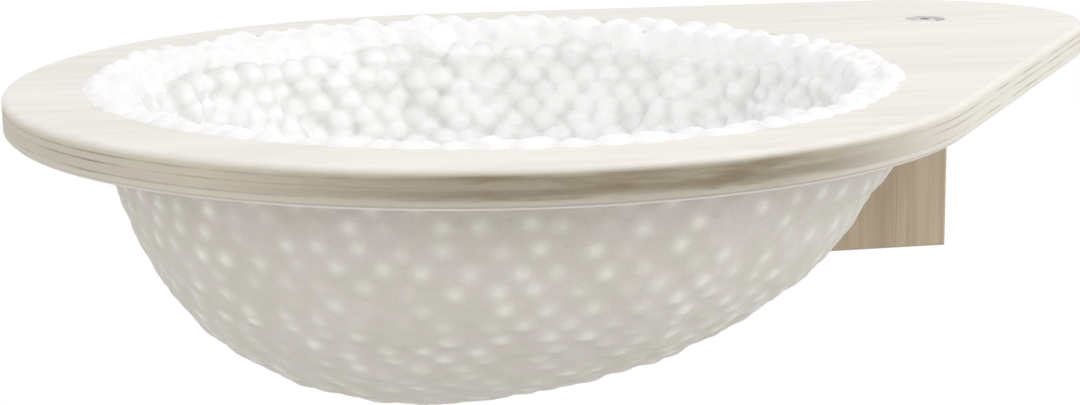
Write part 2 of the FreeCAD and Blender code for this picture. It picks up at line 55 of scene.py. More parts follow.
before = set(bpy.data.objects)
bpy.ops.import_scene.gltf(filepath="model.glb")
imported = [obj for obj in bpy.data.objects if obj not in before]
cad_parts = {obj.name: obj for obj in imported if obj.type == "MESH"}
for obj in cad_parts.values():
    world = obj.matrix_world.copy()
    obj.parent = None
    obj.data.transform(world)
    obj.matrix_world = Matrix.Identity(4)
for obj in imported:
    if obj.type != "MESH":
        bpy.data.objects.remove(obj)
CAD_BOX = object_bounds()

Triple = tuple[float, float, float]
Colour = Triple
Stops = tuple[tuple[float, Colour], ...]

WHITE: Colour = (1.0, 1.0, 1.0)
MIDDLE = 0.5  # of a ramp, and of a noise's range
HEAD_LIGHT = "tone"  # the attribute of painted light: how much painted highlight a point of the yarn gets round a loop's head

# A Mix node's colour sockets by number, because its names repeat for each kind of data.
MIX_FIRST, MIX_SECOND, MIX_RESULT = 6, 7, 2


class Face(Enum):
    """Which face of the bowl's knitting a layer makes."""

    OUTSIDE = "outside"
    INSIDE = "inside"


def deselect_all() -> None:
    """Leave nothing selected, so that an operator acts on the new piece alone."""
    bpy.ops.object.select_all(action="DESELECT")


def node_middle(node: str) -> Vector:
    """Give the middle of a CAD node's box."""
    low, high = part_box(node)
    return (low + high) / 2


class Signal:
    """One value in a node tree, which Python's operators turn into Math nodes."""

    def __init__(self, nodes: "Nodes", socket: bpy.types.NodeSocket) -> None:
        """Wrap one output socket of the tree."""
        self.nodes = nodes
        self.socket = socket

    def __add__(self, other: "Signal | float") -> "Signal":
        """Add a value."""
        return self.nodes.work("ADD", self, other)

    def __radd__(self, other: float) -> "Signal":
        """Add to a number."""
        return self.nodes.work("ADD", other, self)

    def __sub__(self, other: "Signal | float") -> "Signal":
        """Take a value away."""
        return self.nodes.work("SUBTRACT", self, other)

    def __rsub__(self, other: float) -> "Signal":
        """Take this from a number."""
        return self.nodes.work("SUBTRACT", other, self)

    def __mul__(self, other: "Signal | float") -> "Signal":
        """Multiply by a value."""
        return self.nodes.work("MULTIPLY", self, other)

    def __rmul__(self, other: float) -> "Signal":
        """Multiply a number by this."""
        return self.nodes.work("MULTIPLY", other, self)

    def __truediv__(self, other: "Signal | float") -> "Signal":
        """Divide by a value."""
        return self.nodes.work("DIVIDE", self, other)

    def __rtruediv__(self, other: float) -> "Signal":
        """Divide a number by this."""
        return self.nodes.work("DIVIDE", other, self)

    def __gt__(self, other: "Signal | float") -> "Signal":
        """Give 1 where this is larger, else 0."""
        return self.nodes.work("GREATER_THAN", self, other)

    def __lt__(self, other: "Signal | float") -> "Signal":
        """Give 1 where this is smaller, else 0."""
        return self.nodes.work("LESS_THAN", self, other)

    def size(self) -> "Signal":
        """Drop the sign."""
        return self.nodes.work("ABSOLUTE", self)

    def clamp(self, gain: float) -> "Signal":
        """Multiply by a gain and keep the result between 0 and 1."""
        return self.nodes.work("MULTIPLY", self, gain, clamped=True)


class Nodes:
    """The nodes of one material or world."""

    def __init__(self, tree: bpy.types.NodeTree) -> None:
        """Start with an empty tree."""
        self.tree = tree
        tree.nodes.clear()

    def add(
        self, kind: str, settings: dict | None = None, sockets: dict | None = None,
    ) -> bpy.types.Node:
        """Add a node, set it up and fill its sockets.

        Args:
            kind: The node's type.
            settings: Its own settings, by name; a ramp's stops are under "stops".
            sockets: Its inputs by name or number, each a value, a Signal or a node's output.

        Returns:
            The new node.
        """
        node = self.tree.nodes.new(kind)
        for name, value in (settings or {}).items():
            if name == "stops":
                self.set_stops(node.color_ramp, value)
            else:
                setattr(node, name, value)
        for name, value in (sockets or {}).items():
            self.feed(node.inputs[name], value)
        return node

    def feed(self, target: bpy.types.NodeSocket, value: object) -> None:
        """Link or set one input."""
        if isinstance(value, Signal):
            value = value.socket
        if isinstance(value, bpy.types.NodeSocket):
            self.tree.links.new(value, target)
        elif isinstance(value, tuple) and len(value) == len(WHITE) and target.type == "RGBA":
            target.default_value = (*value, 1.0)
        else:
            target.default_value = value

    @staticmethod
    def set_stops(ramp: bpy.types.ColorRamp, stops: Stops) -> None:
        """Place a ramp's colours."""
        while len(ramp.elements) < len(stops):
            ramp.elements.new(MIDDLE)
        for element, (place, colour) in zip(ramp.elements, stops):
            element.position = place
            element.color = (*colour, 1.0)

    def work(
        self, operation: str, first: Signal | float, second: Signal | float = 0.0,
        clamped: bool = False,
    ) -> Signal:
        """Add one Math node.

        Args:
            operation: The Math node's operation.
            first: Its first value.
            second: Its second value, where the operation reads one.
            clamped: Whether the result stays between 0 and 1.

        Returns:
            The node's result.
        """
        settings = {"operation": operation, "use_clamp": clamped}
        node = self.add("ShaderNodeMath", settings, {0: first, 1: second})
        return Signal(self, node.outputs[0])


@dataclass(frozen=True)
class Grain:
    """A noise: its bumps per metre along X, Y and Z, its finer layers and how strong they are."""

    bumps: Triple
    detail: float = 3.0
    roughness: float = 0.5


@dataclass(frozen=True)
class Relief:
    """How far a surface's bumps stand up, in metres, and how much of that counts."""

    depth: float
    strength: float


class Shader(Nodes):
    """One material and its nodes."""

    def __init__(self, name: str) -> None:
        """Start a material that holds one principled surface."""
        self.material = bpy.data.materials.new(name)
        self.material.use_nodes = True
        super().__init__(self.material.node_tree)
        self.surface = self.add("ShaderNodeBsdfPrincipled")
        sockets = {"Surface": self.surface.outputs[0]}
        self.output = self.add("ShaderNodeOutputMaterial", sockets=sockets)

    def set_surface(self, **sockets: object) -> None:
        """Fill the surface's inputs, underscores standing for spaces."""
        for name, value in sockets.items():
            self.feed(self.surface.inputs[name.replace("_", " ")], value)

    def place(self) -> bpy.types.NodeSocket:
        """Give the object coordinates."""
        return self.add("ShaderNodeTexCoord").outputs["Object"]

    def axes(self) -> tuple[Signal, ...]:
        """Give the object coordinates one by one."""
        parts = self.add("ShaderNodeSeparateXYZ", sockets={0: self.place()})
        return tuple(Signal(self, output) for output in parts.outputs)

    def noise(self, grain: Grain) -> Signal:
        """Give a noise from 0 to 1 over the object coordinates."""
        sockets = {"Vector": self.place(), "Scale": grain.bumps}
        mapping = self.add("ShaderNodeMapping", sockets=sockets)
        sockets = {
            "Vector": mapping.outputs[0], "Scale": 1.0,
            "Detail": grain.detail, "Roughness": grain.roughness,
        }
        return Signal(self, self.add("ShaderNodeTexNoise", sockets=sockets).outputs["Fac"])

    def ramp(self, factor: Signal, stops: Stops) -> bpy.types.NodeSocket:
        """Turn a value into a colour."""
        return self.add("ShaderNodeValToRGB", {"stops": stops}, {"Fac": factor}).outputs["Color"]

    def mix(self, factor: Signal | float, first: object, second: object) -> bpy.types.NodeSocket:
        """Mix two colours."""
        sockets = {"Factor": factor, MIX_FIRST: first, MIX_SECOND: second}
        return self.add("ShaderNodeMix", {"data_type": "RGBA"}, sockets).outputs[MIX_RESULT]

    def bump(self, height: Signal, relief: Relief) -> None:
        """Raise the surface by a height from 0 to 1."""
        sockets = {"Height": height, "Distance": relief.depth, "Strength": relief.strength}
        self.set_surface(Normal=self.add("ShaderNodeBump", sockets=sockets).outputs[0])


@dataclass(frozen=True)
class Plywood:
    """Birch plywood: pale face veneer with a fine grain along the wall, and an edge of plies.

    Places on the edge are shares of the board's thickness, from its top down.
    """

    name: str = "birch_plywood"
    veneer: Stops = ((0.36, (0.75, 0.71, 0.66)), (0.60, (0.825, 0.79, 0.745)))
    grain: Grain = Grain((7.0, 120.0, 30.0), 4.0, 0.6)
    figure: Grain = Grain((3.0, 26.0, 10.0), 2.0)
    patches: Grain = Grain((22.0, 22.0, 160.0), 3.0, 0.6)
    fibres: Grain = Grain((160.0, 160.0, 900.0), 3.0, 0.6)
    wander: Grain = Grain((9.0, 9.0, 60.0), 2.0)
    smudges: Grain = Grain((30.0, 30.0, 110.0), 2.0)
    grain_weight: float = 0.55
    figure_weight: float = 0.45

    # The plies round the edge, which waver along it.
    plies: Stops = (
        (0.00, (0.75, 0.71, 0.65)),
        (0.10, (0.66, 0.61, 0.53)),
        (0.20, (0.46, 0.42, 0.33)),
        (0.28, (0.33, 0.285, 0.205)),
        (0.36, (0.345, 0.30, 0.22)),
        (0.47, (0.38, 0.335, 0.25)),
        (0.56, (0.28, 0.235, 0.165)),
        (0.66, (0.31, 0.265, 0.185)),
        (0.74, (0.45, 0.41, 0.33)),
        (0.84, (0.49, 0.46, 0.38)),
        (0.92, (0.55, 0.52, 0.45)),
    )
    patch_waver: float = 0.16
    wander_waver: float = 0.14
    edge_from: float = 0.02
    edge_gain: float = 6.0
    edge_to: float = 0.95

    # Painted light: the edge is painted darkest in front of the nest, as painted shade, and paler
    # to both sides, most to the right, as painted light of the side lamps.
    darkest_at: float = -0.20
    dark_core: float = 0.004
    dark_reach: float = 0.021
    side_lit_ply: Colour = (0.67, 0.62, 0.52)
    pale_strength: float = 0.72
    right_lit_ply: Colour = (0.77, 0.74, 0.665)
    palest_start: float = 0.165
    palest_gain: float = 9.0
    palest_strength: float = 0.92

    # Scorched patches, fibres and glue lines.
    burn: Colour = (0.21, 0.155, 0.09)
    burn_from: float = 0.47
    burn_gain: float = 6.0
    burn_top: float = 0.2
    burn_bottom: float = 0.78
    burn_fade: float = -0.8
    burn_strength: float = 0.72
    glue: Colour = (0.20, 0.155, 0.10)
    fibre_gain: float = 2.0
    fibre_strength: float = 0.35
    glue_lines: tuple[float, ...] = (0.27, 0.47, 0.73)
    glue_width: float = 0.0011
    glue_waver: float = 0.07
    smudge_from: float = 0.34
    smudge_gain: float = 2.2
    smudge_on_pale: float = 0.5
    smudge_on_dark: float = 0.3

    roughness: float = 0.64
    polish: float = 0.12
    coat: float = 0.04
    relief: Relief = Relief(0.00022, 0.6)
    relief_grain: float = 0.6
    relief_fibres: float = 0.4

    def make(self) -> bpy.types.Material:
        """Build the material.

        Returns:
            The finished material.
        """
        shader = Shader(self.name)
        low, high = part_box("shelf_board")
        along, _, up = shader.axes()
        depth = (high.z - up) / (high.z - low.z)
        grain = shader.noise(self.grain)
        patches = shader.noise(self.patches)
        fibres = shader.noise(self.fibres)
        wander = shader.noise(self.wander)
        smudges = shader.noise(self.smudges)
        tone = grain * self.grain_weight + shader.noise(self.figure) * self.figure_weight
        veneer = shader.ramp(tone, self.veneer)

        waver = (patches - MIDDLE) * self.patch_waver
        wavering = depth + waver + (wander - MIDDLE) * self.wander_waver
        # Painted light and shade: the edge pales away from its darkest place in front of the nest;
        # scorch fades and glue lines show more where it is paler.
        aside = along - self.darkest_at
        painted_side_light = (aside * aside - self.dark_core).clamp(1 / self.dark_reach)
        scorched = (patches - self.burn_from).clamp(self.burn_gain)
        scorched = scorched * (depth > self.burn_top) * (depth < self.burn_bottom)
        burnt = scorched * (painted_side_light * self.burn_fade + 1.0) * self.burn_strength
        edge = shader.mix(burnt, shader.ramp(wavering, self.plies), self.burn)
        fibrous = (fibres - MIDDLE).clamp(self.fibre_gain) * self.fibre_strength
        edge = shader.mix(fibrous, edge, self.glue)
        # Painted light of the side lamps on both sides of the edge, strongest to the right.
        edge = shader.mix(painted_side_light * self.pale_strength, edge, self.side_lit_ply)
        painted_right_light = (along + self.palest_start).clamp(self.palest_gain) * self.palest_strength
        edge = shader.mix(painted_right_light, edge, self.right_lit_ply)
        smudged = (smudges - self.smudge_from).clamp(self.smudge_gain)
        shown = painted_side_light * self.smudge_on_pale + self.smudge_on_dark
        for place in self.glue_lines:
            off = depth + (wander - MIDDLE) * self.glue_waver - place
            line = (self.glue_width - off * off).clamp(1 / self.glue_width)
            edge = shader.mix(line * smudged * shown, edge, self.burn)

        on_edge = (depth - self.edge_from).clamp(self.edge_gain) * (depth < self.edge_to)
        shader.set_surface(
            Base_Color=shader.mix(on_edge, veneer, edge),
            Roughness=self.roughness - grain * self.polish,
            Coat_Weight=self.coat,
        )
        shader.bump(grain * self.relief_grain + fibres * self.relief_fibres, self.relief)
        return shader.material


@dataclass(frozen=True)
class SolidWood:
    """Oiled solid wood with an upright grain, darker left of an upright line, with a thin dark
    line along it.
    """

    name: str = "solid_wood"
    light: Colour = (0.575, 0.47, 0.335)
    dark: Colour = (0.42, 0.325, 0.215)
    tone_places: tuple[float, float] = (0.34, 0.60)
    streaks: Grain = Grain((170.0, 170.0, 7.0), 4.0, 0.62)
    rings: Grain = Grain((48.0, 48.0, 2.5), 2.0)
    pores: Grain = Grain((900.0, 900.0, 60.0), 2.0)
    streak_weight: float = 0.6
    ring_weight: float = 0.4
    darker_side_edge: float = 0.008
    left_darkening: float = 0.16
    seam: Colour = (0.16, 0.11, 0.07)
    seam_half_width: float = 0.00015
    seam_strength: float = 0.45
    roughness: float = 0.58
    polish: float = 0.10
    coat: float = 0.06
    relief: Relief = Relief(0.0003, 0.7)
    relief_share: float = 0.5

    def make(self) -> bpy.types.Material:
        """Build the material.

        Returns:
            The finished material.
        """
        shader = Shader(self.name)
        along = shader.axes()[0]
        streaks = shader.noise(self.streaks)
        rings = shader.noise(self.rings)
        pores = shader.noise(self.pores)
        tone = streaks * self.streak_weight + rings * self.ring_weight
        plain = shader.ramp(tone, tuple(zip(self.tone_places, (self.dark, self.light))))
        # The part left of an upright line is made darker, with a thin dark line along that line.
        left = along < self.darker_side_edge
        seam = (along - self.darker_side_edge).size() < self.seam_half_width
        darkened = left * self.left_darkening + seam * self.seam_strength
        shader.set_surface(
            Base_Color=shader.mix(darkened, plain, self.seam),
            Roughness=self.roughness - streaks * self.polish,
            Coat_Weight=self.coat,
        )
        shader.bump(streaks * self.relief_share + pores * self.relief_share, self.relief)
        return shader.material


@dataclass(frozen=True)
class Metal:
    """A plain metal with a fine turned or brushed surface."""

    name: str
    colour: Colour
    roughness: float
    marks: Grain = Grain((900.0, 900.0, 2600.0), 2.0)
    stains: Grain = Grain((120.0, 120.0, 120.0))
    stain_places: tuple[float, float] = (0.35, 0.65)
    stain_shade: float = 0.78
    wear: float = 0.14
    relief: Relief = Relief(0.00004, 0.5)

    def make(self) -> bpy.types.Material:
        """Build the material.

        Returns:
            The finished material.
        """
        shader = Shader(self.name)
        marks = shader.noise(self.marks)
        dull = tuple(part * self.stain_shade for part in self.colour)
        stops = tuple(zip(self.stain_places, (dull, self.colour)))
        shader.set_surface(
            Base_Color=shader.ramp(shader.noise(self.stains), stops),
            Metallic=1.0,
            Roughness=self.roughness + marks * self.wear,
        )
        shader.bump(marks, self.relief)
        return shader.material


@dataclass(frozen=True)
class Chenille:
    """White velvety yarn: soft pile, faint tone changes, a pale sheen at grazing angles, and a
    painted highlight round each loop's head.
    """

    name: str
    light: Colour = (0.935, 0.933, 0.928)
    shade: Colour = (0.865, 0.860, 0.850)
    # The painted highlight's colour: the yarn turns to it round each loop's head, and the plain
    # colours between the heads stand for shade.
    bright: Colour = (0.970, 0.968, 0.963)
    tone_places: tuple[float, float] = (0.36, 0.58)
    tinges: tuple[Colour, Colour] = ((0.915, 0.915, 0.900), (0.920, 0.910, 0.910))
    tinge_places: tuple[float, float] = (0.42, 0.60)
    tinge_strength: float = 0.3
    pile: Grain = Grain((1100.0, 1100.0, 1100.0), 3.0, 0.65)
    tufts: Grain = Grain((260.0, 260.0, 260.0), 2.0)
    patches: Grain = Grain((28.0, 28.0, 28.0), 2.0)
    handled: Grain = Grain((34.0, 34.0, 60.0), 3.0, 0.55)
    pile_weight: float = 0.45
    tuft_weight: float = 0.3
    patch_weight: float = 0.25
    roughness: float = 0.96
    polish: float = 0.06
    sheen: float = 0.35
    sheen_roughness: float = 0.55
    gloss: float = 0.12
    relief: Relief = Relief(0.0011, 0.8)
    relief_pile: float = 0.45
    relief_tufts: float = 0.55

    def make(self) -> bpy.types.Material:
        """Build the material.

        Returns:
            The finished material.
        """
        shader = Shader(self.name)
        pile = shader.noise(self.pile)
        tufts = shader.noise(self.tufts)
        patches = shader.noise(self.patches)
        tone = pile * self.pile_weight + tufts * self.tuft_weight + patches * self.patch_weight
        plain = shader.ramp(tone, tuple(zip(self.tone_places, (self.shade, self.light))))
        tinge = shader.ramp(shader.noise(self.handled), tuple(zip(self.tinge_places, self.tinges)))
        plain = shader.mix(self.tinge_strength, plain, tinge)
        # Painted light: round each loop's head the yarn is mixed towards the painted highlight
        # colour.
        painted_heads = shader.add("ShaderNodeAttribute", {"attribute_name": HEAD_LIGHT}).outputs["Fac"]
        shader.set_surface(
            Base_Color=shader.mix(painted_heads, plain, self.bright),
            Roughness=self.roughness - pile * self.polish,
            Sheen_Weight=self.sheen,
            Sheen_Roughness=self.sheen_roughness,
            Specular_IOR_Level=self.gloss,
        )
        shader.bump(pile * self.relief_pile + tufts * self.relief_tufts, self.relief)
        return shader.material


@dataclass(frozen=True)
class Lamp:
    """One square soft lamp: its place from the board's middle, its side and its power in watts."""

    name: str
    place: Triple
    size: float
    power: float

    def hang(self) -> None:
        """Hang the lamp so that it points at the board's middle."""
        lamp = bpy.data.lights.new(self.name, "AREA")
        lamp.shape = "SQUARE"
        lamp.size = self.size
        lamp.energy = self.power
        holder = bpy.data.objects.new(self.name, lamp)
        bpy.context.scene.collection.objects.link(holder)
        middle = node_middle("shelf_board")
        place = middle + Vector(self.place)
        holder.location = place
        holder.rotation_euler = (middle - place).to_track_quat("-Z", "Y").to_euler()


@dataclass(frozen=True)
class Stage:
    """The pale floor and the soft studio light."""

    floor_name: str = "studio_floor"
    floor_drop: float = 3.2
    floor_reach: float = 12.0
    floor_colour: Colour = (0.90, 0.88, 0.85)
    floor_roughness: float = 0.9
    sky_strength: float = 0.74
    any_ray: float = 0.5
    lamps: tuple[Lamp, ...] = (
        Lamp("ceiling_lamp", (0.25, 0.25, 1.9), 1.6, 6.5),
        Lamp("right_lamp", (1.9, -0.5, 0.7), 1.0, 10.0),
        Lamp("left_lamp", (-1.9, -0.4, 0.6), 1.0, 3.5),
        Lamp("front_lamp", (0.1, -2.0, 1.1), 1.2, 10.0),
    )

    @staticmethod
    def ray(nodes: Nodes, path: bpy.types.Node, kind: str) -> Signal:
        """Give whether the ray that sees a point is of a kind."""
        return Signal(nodes, path.outputs[f"Is {kind} Ray"])

    def white_to_eye(self, shader: Shader) -> bpy.types.NodeSocket:
        """Show plain white to the camera, mirrors and glass, and keep the rest lit as it is.

        Args:
            shader: The shader that gets the nodes, with the surface that lights and shades.

        Returns:
            The mixed surface.
        """
        path = shader.add("ShaderNodeLightPath")
        camera, glossy, through = (
            self.ray(shader, path, kind) for kind in ("Camera", "Glossy", "Transmission")
        )
        seen = (camera + glossy + through) > self.any_ray
        white = shader.add("ShaderNodeEmission", sockets={"Color": WHITE, "Strength": 1.0})
        sockets = {0: seen, 1: shader.surface.outputs[0], 2: white.outputs[0]}
        return shader.add("ShaderNodeMixShader", sockets=sockets).outputs[0]

    def lay_floor(self) -> None:
        """Lay a large pale floor well below the shelf."""
        deselect_all()
        level = CAD_BOX[0][2] - self.floor_drop
        bpy.ops.mesh.primitive_plane_add(size=self.floor_reach, location=(0.0, 0.0, level))
        floor = bpy.context.object
        floor.name = self.floor_name
        bpy.ops.object.transform_apply(location=True, rotation=True, scale=True)
        shader = Shader(self.floor_name)
        shader.set_surface(Base_Color=self.floor_colour, Roughness=self.floor_roughness)
        shader.feed(shader.output.inputs["Surface"], self.white_to_eye(shader))
        floor.data.materials.append(shader.material)

    def light_world(self) -> None:
        """Light the room evenly, and show it white to the camera and in mirrors."""
        world = bpy.data.worlds.new("studio_world")
        bpy.context.scene.world = world
        world.use_nodes = True
        nodes = Nodes(world.node_tree)
        path = nodes.add("ShaderNodeLightPath")
        camera, glossy = (self.ray(nodes, path, kind) for kind in ("Camera", "Glossy"))
        seen = nodes.work("MAXIMUM", camera, glossy)
        sockets = {"Value": seen, "To Min": self.sky_strength, "To Max": 1.0}
        level = nodes.add("ShaderNodeMapRange", sockets=sockets)
        sockets = {"Color": WHITE, "Strength": level.outputs[0]}
        sky = nodes.add("ShaderNodeBackground", sockets=sockets)
        nodes.add("ShaderNodeOutputWorld", sockets={"Surface": sky.outputs[0]})

    def build(self) -> None:
        """Set the floor, the world and the lamps."""
        self.lay_floor()
        self.light_world()
        for lamp in self.lamps:
            lamp.hang()


@dataclass(frozen=True)
class PhotoCamera:
    """The camera of the photograph, measured from the nest's centre on the board's top."""

    name: str = "photo_camera"
    image_width: float = 1080.0
    sensor_width: float = 36.0
    focal_pixels: float = 2207.8
    middle_pixel_x: float = 702.3
    level_tilt: float = 90.0
    pitch_down: float = 12.358
    yaw_right: float = 13.504
    place: Triple = (-0.1318, -0.9134, 0.1457)

    def build(self) -> None:
        """Make the camera and look through it."""
        data = bpy.data.cameras.new(self.name)
        data.sensor_width = self.sensor_width
        data.lens = self.sensor_width * self.focal_pixels / self.image_width
        data.shift_x = (self.image_width / 2 - self.middle_pixel_x) / self.image_width
        camera = bpy.data.objects.new(self.name, data)
        bpy.context.scene.collection.objects.link(camera)
        rim = node_middle("nest_rim")
        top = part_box("shelf_board")[1].z
        camera.location = Vector((rim.x, rim.y, top)) + Vector(self.place)
        tilt = math.radians(self.level_tilt - self.pitch_down)
        camera.rotation_euler = (tilt, 0.0, math.radians(-self.yaw_right))
        bpy.context.scene.camera = camera


@dataclass
class BowlForm:
    """The sagging bowl's outer skin: level rings whose two sides follow the same kind of curve.

    On each side the reach from the lowest point's line, as a share of that at the mouth, is
    (1 - share ^ fullness) ^ roundness at a share of the depth.
    """

    sag: float = 0.025
    depth: float = 0.1293
    full_side: tuple[float, float] = (2.26, 0.506)
    slack_side: tuple[float, float] = (2.70, 0.772)
    lowest_share: float = 0.9999
    least_reach: float = 1e-7
    probe: float = 0.004
    samples: int = 600

    def __post_init__(self) -> None:
        """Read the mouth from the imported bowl."""
        low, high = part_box("nest_bowl")
        rim = node_middle("nest_rim")
        self.centre = Vector((rim.x, rim.y, high.z))
        self.mouth = (high.x - low.x) / 2

    def reach(self, side: tuple[float, float], share: float) -> float:
        """Give one side's reach at a share of the depth, as a share of its reach at the mouth."""
        fullness, roundness = side
        return max(self.least_reach, 1 - share ** fullness) ** roundness

    def ring(self, share: float) -> tuple[Vector, float]:
        """Give the centre and radius of the level ring at a share of the depth."""
        full = (self.mouth - self.sag) * self.reach(self.full_side, share)
        slack = (self.mouth + self.sag) * self.reach(self.slack_side, share)
        drift = (slack - full) / 2 - self.sag
        return self.centre + Vector((drift, 0.0, -self.depth * share)), (full + slack) / 2

    def point(self, angle: float, share: float) -> Vector:
        """Give the point of the skin at an angle and a share of the depth."""
        middle, radius = self.ring(share)
        return middle + Vector((math.cos(angle), math.sin(angle), 0.0)) * radius

    def frame(self, angle: float, share: float) -> tuple[Vector, Vector, Vector]:
        """Give a point of the skin with its directions up the wall and inwards."""
        here = self.point(angle, share)
        along = self.point(angle + self.probe, share) - here
        high, low = max(0.0, share - self.probe), min(self.lowest_share, share + self.probe)
        climb = (self.point(angle, high) - self.point(angle, low)).normalized()
        inward = climb.cross(along).normalized()
        return here, climb, inward

    def rows(self, pitch: float, start: float) -> list[float]:
        """Space rows down the wall, no further apart than the pitch on either side.

        Args:
            pitch: The distance from row to row, measured along the longer side of the wall.
            start: The first row's distance from the mouth.

        Returns:
            The rows' shares of depth, from the mouth down.
        """
        spread = np.linspace(1.0, 0.0, self.samples) ** 2
        fine = self.lowest_share - self.lowest_share * spread
        rings = [self.ring(float(share)) for share in fine]
        sides = np.array([
            [(middle.x + side * radius, middle.z) for middle, radius in rings] for side in (-1, 1)
        ])
        steps = np.linalg.norm(np.diff(sides, axis=1), axis=2).max(axis=0)
        lengths = np.concatenate([[0.0], np.cumsum(steps)])
        places = np.arange(start, lengths[-1], pitch)
        return [float(np.interp(place, lengths, fine)) for place in places]


@dataclass(frozen=True)
class Folds:
    """Soft folds that run down the inside of the nest between creases, highest on its left.

    The creases are shares of a turn from +X, and each height is a share of the highest fold.
    """

    creases: tuple[float, ...] = (
        0.020, 0.080, 0.150, 0.210, 0.275, 0.345, 0.400, 0.455,
        0.515, 0.580, 0.650, 0.720, 0.785, 0.860, 0.935,
    )
    heights: tuple[float, ...] = (
        0.75, 0.55, 0.65, 0.45, 0.60, 0.85, 1.00, 0.80,
        0.95, 0.70, 0.60, 0.55, 0.70, 0.60, 0.80,
    )
    depth_shares: tuple[float, ...] = (0.0, 0.30, 0.56, 0.76, 0.90, 0.98)
    fade_shares: tuple[float, ...] = (0.0, 1.0, 0.85, 0.55, 0.25, 0.0)
    highest: float = 0.009
    roundness: float = 1.6

    def lift(self, angle: float, share: float) -> float:
        """Give how far the inside stands inwards at an angle and a share of the depth."""
        turn = (angle / (2 * math.pi) - self.creases[0]) % 1.0 + self.creases[0]
        edges = (*self.creases, self.creases[0] + 1.0)
        index = max(place for place, crease in enumerate(self.creases) if crease <= turn)
        across = (turn - edges[index]) / (edges[index + 1] - edges[index])
        shape = 1.0 - abs(2.0 * across - 1.0) ** self.roundness
        fade = float(np.interp(share, self.depth_shares, self.fade_shares))
        return self.highest * self.heights[index] * shape * fade


@dataclass(frozen=True)
class Loop:
    """The shape of one knitted loop: a wave of thick yarn along its row, with a puffy head.

    Its glint is the reach of the painted highlight round its head, and dullest the least share of
    that highlight that a loop gets.
    Grain and softness say how finely and how smoothly neighbouring loops grow together.
    """

    width: float
    rise: float
    lean: float
    depth: float
    yarn: float
    swell: float
    grain: float
    softness: int
    glint: float = 0.004
    sharpness: float = 2.0
    dullest: float = 0.0
    smoothing: float = 0.5
    steps: int = 12

    def offsets(self, turn: float) -> tuple[float, float, float, float]:
        """Give one point of the loop.

        Args:
            turn: The place in the loop, from 0 at its head to a full turn.

        Returns:
            How far along the row, up the wall and towards the seen face it lies, and its
            thickness factor.
        """
        head = math.cos(turn)
        lean = self.lean * math.sin(2 * turn)
        return lean, self.rise * head, self.depth * head, 1.0 + self.swell * head


@dataclass(frozen=True)
class Unevenness:
    """How much the loops of a hand-knitted row differ."""

    rise: float
    inset: float
    puff: float
    slide: float


Placer = Callable[[float, float, float], Vector]


def all_light(angle: float) -> float:
    """Let a loop at any angle keep all of its painted highlight."""
    return 1.0


